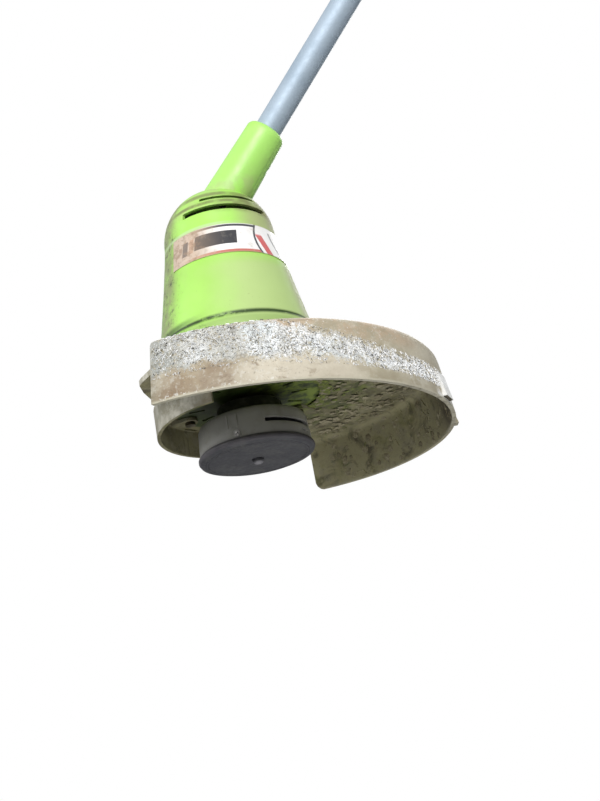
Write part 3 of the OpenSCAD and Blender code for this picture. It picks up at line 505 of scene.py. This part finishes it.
def guard_plastic():
    """The guard's outside and inside, told apart by the way the surface faces, and its worn rim."""
    s = Shader("guard_plastic")
    s.move_to(TO_GUARD.to_euler(), TO_GUARD.to_translation())
    x, y, z, r, turn = s.axis(0), s.axis(1), s.axis(2), s.radius(), s.azimuth()
    facing = s.calc("DIVIDE", s.add(s.times(s.normal_axis(0), x), s.times(s.normal_axis(1), y)), r)
    outside = s.between(s.add(facing, s.times(s.normal_axis(2), 0.9)), -0.12, 0.12)
    level = s.calc("DIVIDE", s.less(z, RIM_Z), PLATE_Z - RIM_Z)

    outer, cover, speck_height = guard_outside(s, turn, level)
    rim = s.times(s.between(z, RIM_Z + 0.0022, RIM_Z + 0.0004), s.between(r, 0.138, 0.142),
                  s.patches(140, 6, 0.7, 0.30, 0.55, 0.35))
    wear = s.add(0.30, s.times(s.between(turn, 0.55, 0.15), 0.65))
    colour = s.layers(guard_inside(s), (outside, outer), (s.times(rim, wear), (0.46, 0.43, 0.33)))
    lumps = s.add(s.noise(180, 6, 0.7), s.times(s.noise(900, 3), 0.35), s.times(cover, speck_height, 1.1))
    s.set(base_color=colour, roughness=s.between(outside, 0, 1, 0.80, 0.56), normal=s.bump(lumps, 0.0006, 0.55))
    return s.material


def label_print():
    """Plain printed shapes: a pale panel with a dark bar and a red foot line, then a panel with a swoosh."""
    s = Shader("label_print")
    degrees = s.times(s.azimuth(), 180 / math.pi)
    height = s.times(s.less(s.axis(2), LABEL_Z), 1 / LABEL_HEIGHT)    # 0 to 1 up the label

    # A curved line at -36.5 degrees splits the two panels
    bow = s.calc("POWER", s.calc("ABSOLUTE", s.less(height, 0.5)), 2.0)
    past_split = s.less(degrees, s.add(-36.5, s.times(bow, 16.0)))
    first_panel = s.between(past_split, -0.3, -0.9)
    leaning = s.less(degrees, s.times(height, 4.0))
    bar = s.times(s.band(height, 0.53, 0.22, 0.015), s.band(leaning, -76.0, 19.5, 0.4), first_panel)
    block = s.times(s.band(height, 0.50, 0.22, 0.015), s.band(leaning, -99.2, 2.0, 0.4))
    tail = s.times(s.band(height, 0.48, 0.22, 0.015), s.band(leaning, -106.0, 2.8, 0.4))
    dark_shapes = s.most(bar, tail)
    top_line = s.times(s.band(height, 0.935, 0.030, 0.015), s.between(degrees, -104, -92), first_panel)
    foot_line = s.times(s.between(height, 0.105, 0.085), s.between(past_split, -0.6, -1.2),
                        s.between(degrees, -112, -96))
    swoosh_middle = s.add(-31.5, s.times(s.less(0.62, height), 12.0))
    swoosh = s.times(s.band(s.less(degrees, swoosh_middle), 0.0, 3.4, 0.5), s.between(height, 0.70, 0.60),
                     s.between(past_split, 0.7, 1.3))
    hair_middle = s.add(-17.5, s.times(s.calc("POWER", s.less(1.0, height), 2.0), 9.0))
    hair_line = s.times(s.band(s.less(degrees, hair_middle), 0.0, 1.1, 0.6), s.between(height, 0.86, 0.78))

    tanned = s.times(s.between(degrees, -62, -98, 0.0, 0.86), s.between(dark_shapes, 0, 1, 1.0, 0.35))
    aged = s.times(s.between(degrees, -72, -100), s.patches(150, 6, 0.72, 0.46, 0.62))
    dirt = s.times(s.patches(130, 6, 0.7, 0.54, 0.68), s.between(dark_shapes, 0, 1, 0.45, 0.12))
    edge = s.most(s.between(height, 0.97, 0.99), s.between(height, 0.03, 0.01))
    colour = s.layers(
        s.two_tone(40, 4, (0.78, 0.76, 0.74), (0.90, 0.89, 0.88)),
        (s.times(dark_shapes, 0.98), (0.022, 0.022, 0.028)),
        (s.times(block, 0.9), (0.55, 0.16, 0.13)),
        (s.most(top_line, s.band(past_split, 0.0, 0.85, 0.4)), (0.055, 0.055, 0.065)),
        (foot_line, (0.52, 0.16, 0.13)),
        (swoosh, (0.60, 0.115, 0.115)),
        (s.times(hair_line, 0.8), (0.20, 0.20, 0.21)),
        (tanned, (0.50, 0.36, 0.25)),
        (s.times(aged, 0.85), (0.30, 0.20, 0.13)),
        (dirt, (0.50, 0.44, 0.36)),
        (s.times(edge, 0.5), (0.42, 0.44, 0.26)))
    s.set(base_color=colour, roughness=s.wander(200, 4, 0.26, 0.42),
          coat_weight=0.2, coat_roughness=0.2, normal=s.bump(s.noise(500, 4), 0.00004, 0.5))
    return s.material


# The record's material slots
MATERIALS = {
    "lime_plastic": lime_plastic(),
    "tube_paint": tube_paint(),
    "charcoal_plastic": charcoal_plastic(),
    "guard_plastic": guard_plastic(),
    "label_print": label_print(),
    "black_plastic": moulded("black_plastic", (0.018, 0.018, 0.020), (0.032, 0.032, 0.035), 0.46,
                             scuff=(0.08, 0.08, 0.08)),
    "red_plastic": moulded("red_plastic", (0.50, 0.03, 0.02), (0.60, 0.05, 0.03), 0.38),
    "grip_rubber": moulded("grip_rubber", (0.016, 0.016, 0.017), (0.030, 0.030, 0.031), 0.72, 900, 0.00012),
    "zinc_steel": metal("zinc_steel", (0.48, 0.48, 0.47), (0.62, 0.61, 0.58), 0.34),
    "blade_steel": metal("blade_steel", (0.52, 0.52, 0.53), (0.66, 0.66, 0.67), 0.26, (1, 1, 8)),
    "lamination_steel": metal("lamination_steel", (0.24, 0.24, 0.25), (0.36, 0.36, 0.37), 0.42,
                              (0.1, 0.1, 1), 2200),
    "copper_wire": metal("copper_wire", (0.45, 0.17, 0.07), (0.66, 0.30, 0.14), 0.30, (1, 1, 0.2), 1800),
    "brass_strip": metal("brass_strip", (0.62, 0.44, 0.17), (0.76, 0.58, 0.28), 0.28),
    "carbon": moulded("carbon", (0.022, 0.022, 0.024), (0.045, 0.045, 0.047), 0.6, 1500, 0.00008),
    "capacitor_case": moulded("capacitor_case", (0.52, 0.34, 0.05), (0.62, 0.44, 0.09), 0.3),
    "nylon_line": moulded("nylon_line", (0.46, 0.44, 0.42), (0.60, 0.58, 0.56), 0.35, 700, 0.00008),
    "eyelet_metal": metal("eyelet_metal", (0.20, 0.19, 0.18), (0.42, 0.41, 0.40), 0.42),
    "lead_sheath": moulded("lead_sheath", (0.020, 0.020, 0.022), (0.034, 0.034, 0.036), 0.6),
}

for part in frame["record"]["subparts"]:
    node = frame["nodes"][part["node"]]
    node.data.materials.clear()
    node.data.materials.append(MATERIALS[part["material_slot"]])

# The metal under the guard is caked with soil
caked_metal = metal("caked_screw", (0.060, 0.050, 0.030), (0.20, 0.18, 0.13), 0.6)
for name in ("guard_screws", "cutter_screws", "line_cutter"):
    frame["nodes"][name].data.materials[0] = caked_metal

# Softened edges, by bevel width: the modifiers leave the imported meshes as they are
EDGES = {"guard": 0.0008, "housing_left": 0.0006, "housing_right": 0.0006, "housing_base": 0.0006,
         "spool_cap": 0.0005, "spool_cup": 0.0004}
for name, width in EDGES.items():
    node = frame["nodes"][name]
    weld = node.modifiers.new("weld", "WELD")
    weld.merge_threshold = 0.00001
    bevel = node.modifiers.new("edges", "BEVEL")
    bevel.width = width
    bevel.segments = 2
    bevel.limit_method = "ANGLE"
    bevel.angle_limit = math.radians(38)
    bevel.harden_normals = True


# ---------- Fine pieces on the guard ----------

# One stream of random numbers, so the order of its draws matters
rng = random.Random(41)


class Bits:
    """Many small solids gathered into one piece, each with one of the piece's looks."""

    def __init__(self):
        self.points, self.faces, self.looks = [], [], []

    def add_blade(self, place, out, along, across, length, width, thick):
        """A thin wedge, narrower at its far end. Its look comes after it."""
        base = len(self.points)
        for end, share in ((-0.5, 1.0), (0.5, 0.35)):
            middle = place + along * (length * end)
            self.points.append(middle - across * (width * share / 2))
            self.points.append(middle + across * (width * share / 2))
            self.points.append(middle + out * thick)
        a, b, c, d, e, f = range(base, base + 6)
        self.faces.extend([(a, c, b), (d, e, f), (a, b, e, d), (b, c, f, e), (c, a, d, f)])

    def add_clump(self, place, out, side, other, size, height):
        """A low lump with a ragged outline: two rings and a crown. Its look comes after it."""
        base, sides = len(self.points), 7
        for scale, lift in ((1.0, -0.1), (0.62, 0.75)):
            for i in range(sides):
                swing = math.tau * i / sides
                reach = size * scale * rng.uniform(0.62, 1.15)
                self.points.append(place + side * (reach * math.cos(swing)) + other * (reach * math.sin(swing))
                                   + out * (height * lift * rng.uniform(0.8, 1.1)))
        self.points.append(place + out * height)
        for i in range(sides):
            after = (i + 1) % sides
            low, high = base + i, base + sides + i
            self.faces.append((low, base + after, base + sides + after, high))
            self.faces.append((high, base + sides + after, base + 2 * sides))
        self.faces.append(tuple(base + i for i in reversed(range(sides))))

    def look(self, index):
        """Gives every face since the last call this look."""
        self.looks += [index] * (len(self.faces) - len(self.looks))

    def make(self, name, looks):
        """Makes the piece with its looks, riding on the frame."""
        mesh = bpy.data.meshes.new(name)
        mesh.from_pydata(self.points, [], self.faces)
        for look in looks:
            mesh.materials.append(look)
        mesh.polygons.foreach_set("material_index", self.looks)
        mesh.update()
        piece = bpy.data.objects.new(name, mesh)
        scene.collection.objects.link(piece)
        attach(piece, "frame")


SHOULDER_R = PLATE_Z - SHOULDER_Z
WALL_LENGTH = math.hypot(RIM_R - TOP_R, SHOULDER_Z - RIM_Z)
WALL_SLOPE = math.atan2(RIM_R - TOP_R, SHOULDER_Z - RIM_Z)
SKIRT_LENGTH = WALL_LENGTH + SHOULDER_R * math.pi / 2
SKIRT_THICKNESS = 0.003
PLATE_UNDER_Z = 0.051
PLATE_RS = (0.068, 0.134)


def round_axis(turn):
    """Unit vectors away from an upright axis and round it."""
    return Vector((math.cos(turn), math.sin(turn), 0)), Vector((-math.sin(turn), math.cos(turn), 0))


def skirt_point(turn, along, lift, inside=False):
    """A point on the skirt, along metres up its section from the rim, with its vectors out, round and up."""
    if along < WALL_LENGTH:
        share = along / WALL_LENGTH
        r, z, bend = RIM_R + (TOP_R - RIM_R) * share, RIM_Z + (SHOULDER_Z - RIM_Z) * share, WALL_SLOPE
    else:
        bend = min((along - WALL_LENGTH) / SHOULDER_R, math.pi / 2)
        r, z = TOP_R - SHOULDER_R + SHOULDER_R * math.cos(bend), SHOULDER_Z + SHOULDER_R * math.sin(bend)
    radial, round_ = round_axis(turn)
    out = radial * math.cos(bend) + Vector((0, 0, math.sin(bend)))
    rise = -radial * math.sin(bend) + Vector((0, 0, math.cos(bend)))
    place = radial * r + Vector((0, 0, z))
    if inside:
        place, out = place - out * SKIRT_THICKNESS, -out
    return FROM_GUARD @ (place + out * lift), GUARD_SPIN @ out, GUARD_SPIN @ round_, GUARD_SPIN @ rise


def under_point(rs=None):
    """A random point between two radii under the plate or, with none given, anywhere inside the guard.

    Its vectors out, round and along come with it, and its radius.
    """
    turn = math.radians(rng.uniform(-88, 84))
    if rs is None and rng.random() < 0.38:
        place, out, round_, rise = skirt_point(turn, rng.uniform(0.06, 0.88) * SKIRT_LENGTH, 0.0, True)
        return place, out, round_, rise, RIM_R
    near, far = rs or PLATE_RS
    r = math.sqrt(rng.uniform(near ** 2, far ** 2))
    radial, round_ = round_axis(turn)
    flat = TO_GUARD @ (radial * r + Vector((0, 0, PLATE_UNDER_Z)))
    place = FROM_GUARD @ Vector((flat.x, flat.y, PLATE_UNDER_Z))
    return place, GUARD_SPIN @ Vector((0, 0, -1)), GUARD_SPIN @ round_, GUARD_SPIN @ radial, r


def lie(out, round_, rise, tilt):
    """A random direction along the surface, tilted a little out of it, and the one across it."""
    swing = rng.uniform(0, math.pi)
    along = round_ * math.cos(swing) + rise * math.sin(swing) + out * rng.uniform(-tilt, tilt)
    return along, out.cross(along).normalized()


def blend_steps(table, at):
    """Linear interpolation in rows of (position, values...)."""
    if at <= table[0][0]:
        return table[0][1:]
    for low, high in zip(table, table[1:]):
        if at <= high[0]:
            share = (at - low[0]) / (high[0] - low[0])
            return tuple(a + (b - a) * share for a, b in zip(low[1:], high[1:]))
    return table[-1][1:]


# The crust outside. Rows of turn in degrees, the crust's middle and its half height as shares of the wall
CRUST = [(-94, 0.66, 0.26), (-78, 0.66, 0.28), (-66, 0.62, 0.26), (-54, 0.50, 0.22), (-40, 0.40, 0.16),
         (-26, 0.34, 0.12), (-14, 0.32, 0.12), (4, 0.34, 0.12)]
CRUST_TRIES = 6200
DRY = [dry_plant("dry_pale", (0.62, 0.63, 0.63), (0.92, 0.92, 0.92)),
       dry_plant("dry_straw", (0.36, 0.31, 0.20), (0.55, 0.50, 0.38)),
       dry_plant("dry_dark", (0.060, 0.058, 0.050), (0.15, 0.145, 0.13))]

bits = Bits()
for _ in range(CRUST_TRIES):
    degrees = rng.uniform(-93.4, 4)
    middle, half_height = blend_steps(CRUST, degrees)
    share = middle + half_height * max(-1.25, min(1.25, rng.gauss(0, 0.62)))
    sparse = math.sin(degrees * 0.83) + math.sin(share * 21 + degrees * 0.41) < -1.0
    if not 0.03 < share < 0.99 or sparse and rng.random() < 0.75:
        continue
    place, out, round_, rise = skirt_point(math.radians(degrees), share * SKIRT_LENGTH, 0.00005)
    along, across = lie(out, round_, rise, 0.10)
    bits.add_blade(place, out, along, across, rng.uniform(0.0007, 0.0024), rng.uniform(0.0002, 0.0006),
                   rng.uniform(0.0002, 0.0005))
    bits.look(rng.choices((0, 1, 2), (0.74, 0.14, 0.12))[0])
bits.make("guard_clippings", DRY)

# Caked soil inside, with a mossy ring close to the housing's base
CLUMPS, CLUMPS_BY_BASE = 1150, 350
BASE_RS = (0.0580, 0.0625)
SOIL = [dry_plant("caked_soil", (0.13, 0.112, 0.062), (0.24, 0.208, 0.122)),
        dry_plant("dry_soil", (0.20, 0.175, 0.105), (0.32, 0.285, 0.18)),
        dry_plant("caked_moss", (0.085, 0.100, 0.020), (0.20, 0.24, 0.04))]

bits = Bits()
for turn_number in range(CLUMPS):
    by_base = turn_number < CLUMPS_BY_BASE
    place, out, round_, rise, r = under_point(BASE_RS if by_base else None)
    size = 0.0022 + 0.0020 * rng.random() if by_base else 0.0006 + 0.0034 * rng.random() ** 2
    bits.add_clump(place, out, round_, rise, size, size * rng.uniform(0.08, 0.20))
    moss = 4.0 if r < 0.0665 else 0.6 if r < 0.084 else 0.0
    bits.look(rng.choices((0, 1, 2), (0.30, 0.62, moss))[0])
bits.make("guard_soil", SOIL)

# Longer cut stems inside, greener near the head
CUTTINGS = 420
CUT = [dry_plant("cut_straw", (0.26, 0.22, 0.12), (0.46, 0.42, 0.28)),
       dry_plant("cut_green", (0.09, 0.12, 0.025), (0.16, 0.20, 0.05))]

bits = Bits()
for _ in range(CUTTINGS):
    place, out, round_, rise, r = under_point()
    along, across = lie(out, round_, rise, 0.04)
    bits.add_blade(place, out, along, across, rng.uniform(0.002, 0.008), rng.uniform(0.0003, 0.0007),
                   rng.uniform(0.0002, 0.0005))
    bits.look(1 if rng.random() < (0.5 if r < 0.095 else 0.12) else 0)
bits.make("guard_cuttings", CUT)

# ---------- Springs ----------


def wound_spring(name, body):
    """The spring's own mesh as a piece riding on the body, with the imported part hidden."""
    node = frame["nodes"][name]
    piece = bpy.data.objects.new(name + "_wound", node.data.copy())
    scene.collection.objects.link(piece)
    piece.matrix_world = node.matrix_world.copy()
    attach(piece, body)
    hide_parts(name)
    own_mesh(piece)


wound_spring("feed_spring", "tap")
wound_spring("trigger_spring", "frame")
wound_spring("lock_spring", "frame")

# ---------- Stage, light and camera ----------

FLOOR_Z = -1.25
FLOOR_R = 1.6
FLOOR_SIDES = 96

floor_mesh = bpy.data.meshes.new("floor")
turns = [math.tau * i / FLOOR_SIDES for i in range(FLOOR_SIDES)]
corners = [(FLOOR_R * math.cos(turn), FLOOR_R * math.sin(turn), FLOOR_Z) for turn in turns]
floor_mesh.from_pydata(corners, [], [tuple(range(FLOOR_SIDES))])
floor = bpy.data.objects.new("floor", floor_mesh)
scene.collection.objects.link(floor)
floor_look = Shader("floor_paint")
floor_look.set(base_color=floor_look.mix(floor_look.noise(3, 4), (0.86, 0.86, 0.86), (0.90, 0.90, 0.90)),
               roughness=0.8)
floor_mesh.materials.append(floor_look.material)

# The sky lights the object more from above than from below, and is plain white where it is seen
SKY_HEIGHTS, SKY_STRENGTHS = (-0.35, 0.45), (0.19, 0.62)

world = bpy.data.worlds.new("studio")
scene.world = world
world.use_nodes = True
sky = world.node_tree
lit = sky.nodes["Background"]
lit.inputs["Color"].default_value = (0.97, 0.985, 1.0, 1)
height = sky.nodes.new("ShaderNodeSeparateXYZ")
sky.links.new(sky.nodes.new("ShaderNodeTexCoord").outputs["Generated"], height.inputs[0])
dome = sky.nodes.new("ShaderNodeMapRange")
dome.interpolation_type = "SMOOTHSTEP"
for socket, number in zip(list(dome.inputs)[1:5], SKY_HEIGHTS + SKY_STRENGTHS):
    socket.default_value = number
sky.links.new(height.outputs[2], dome.inputs[0])
sky.links.new(dome.outputs[0], lit.inputs["Strength"])
seen = sky.nodes.new("ShaderNodeBackground")
seen.inputs["Color"].default_value = (1, 1, 1, 1)
seen.inputs["Strength"].default_value = 1.0
path = sky.nodes.new("ShaderNodeLightPath")
blend = sky.nodes.new("ShaderNodeMixShader")
sky.links.new(path.outputs["Is Camera Ray"], blend.inputs[0])
sky.links.new(lit.outputs[0], blend.inputs[1])
sky.links.new(seen.outputs[0], blend.inputs[2])
sky.links.new(blend.outputs[0], sky.nodes["World Output"].inputs[0])


def softbox(name, place, target, size, watts):
    """A round soft light at place, turned to target."""
    light = bpy.data.lights.new(name, "AREA")
    light.shape = "DISK"
    light.size = size
    light.energy = watts
    lamp = bpy.data.objects.new(name, light)
    scene.collection.objects.link(lamp)
    lamp.location = place
    lamp.rotation_mode = "QUATERNION"
    lamp.rotation_quaternion = (Vector(target) - Vector(place)).to_track_quat("-Z", "Y")


softbox("key", (0.60, -2.0, 0.62), (0.05, 0, 0.15), 1.1, 44)
softbox("fill", (-1.7, -1.2, 1.2), (0.10, 0, 0.3), 1.4, 12)
softbox("rim", (0.2, 1.8, 1.6), (0.2, 0, 0.4), 1.2, 20)

# The camera, solved from the photo's outlines: angles in radians
EYE = Vector((0.2383, -0.6662, -0.2124))
YAW, PITCH, ROLL = -0.288, 0.347, -0.194
FOCAL_PX, LONG_SIDE_PX, SENSOR_MM = 984.4, 801, 36.0

ahead = Vector((math.sin(YAW) * math.cos(PITCH), math.cos(YAW) * math.cos(PITCH), math.sin(PITCH)))
level = Vector((math.cos(YAW), -math.sin(YAW), 0))
above = level.cross(ahead)
right = math.cos(ROLL) * level + math.sin(ROLL) * above
up = -math.sin(ROLL) * level + math.cos(ROLL) * above
lens = bpy.data.cameras.new("camera")
lens.sensor_width = SENSOR_MM
lens.lens = FOCAL_PX * SENSOR_MM / LONG_SIDE_PX
lens.clip_start, lens.clip_end = 0.01, 100
camera = bpy.data.objects.new("camera", lens)
scene.collection.objects.link(camera)
camera.matrix_world = Matrix((
    (right.x, up.x, -ahead.x, EYE.x),
    (right.y, up.y, -ahead.y, EYE.y),
    (right.z, up.z, -ahead.z, EYE.z),
    (0, 0, 0, 1)))
scene.camera = camera
scene.view_settings.view_transform = "Standard"
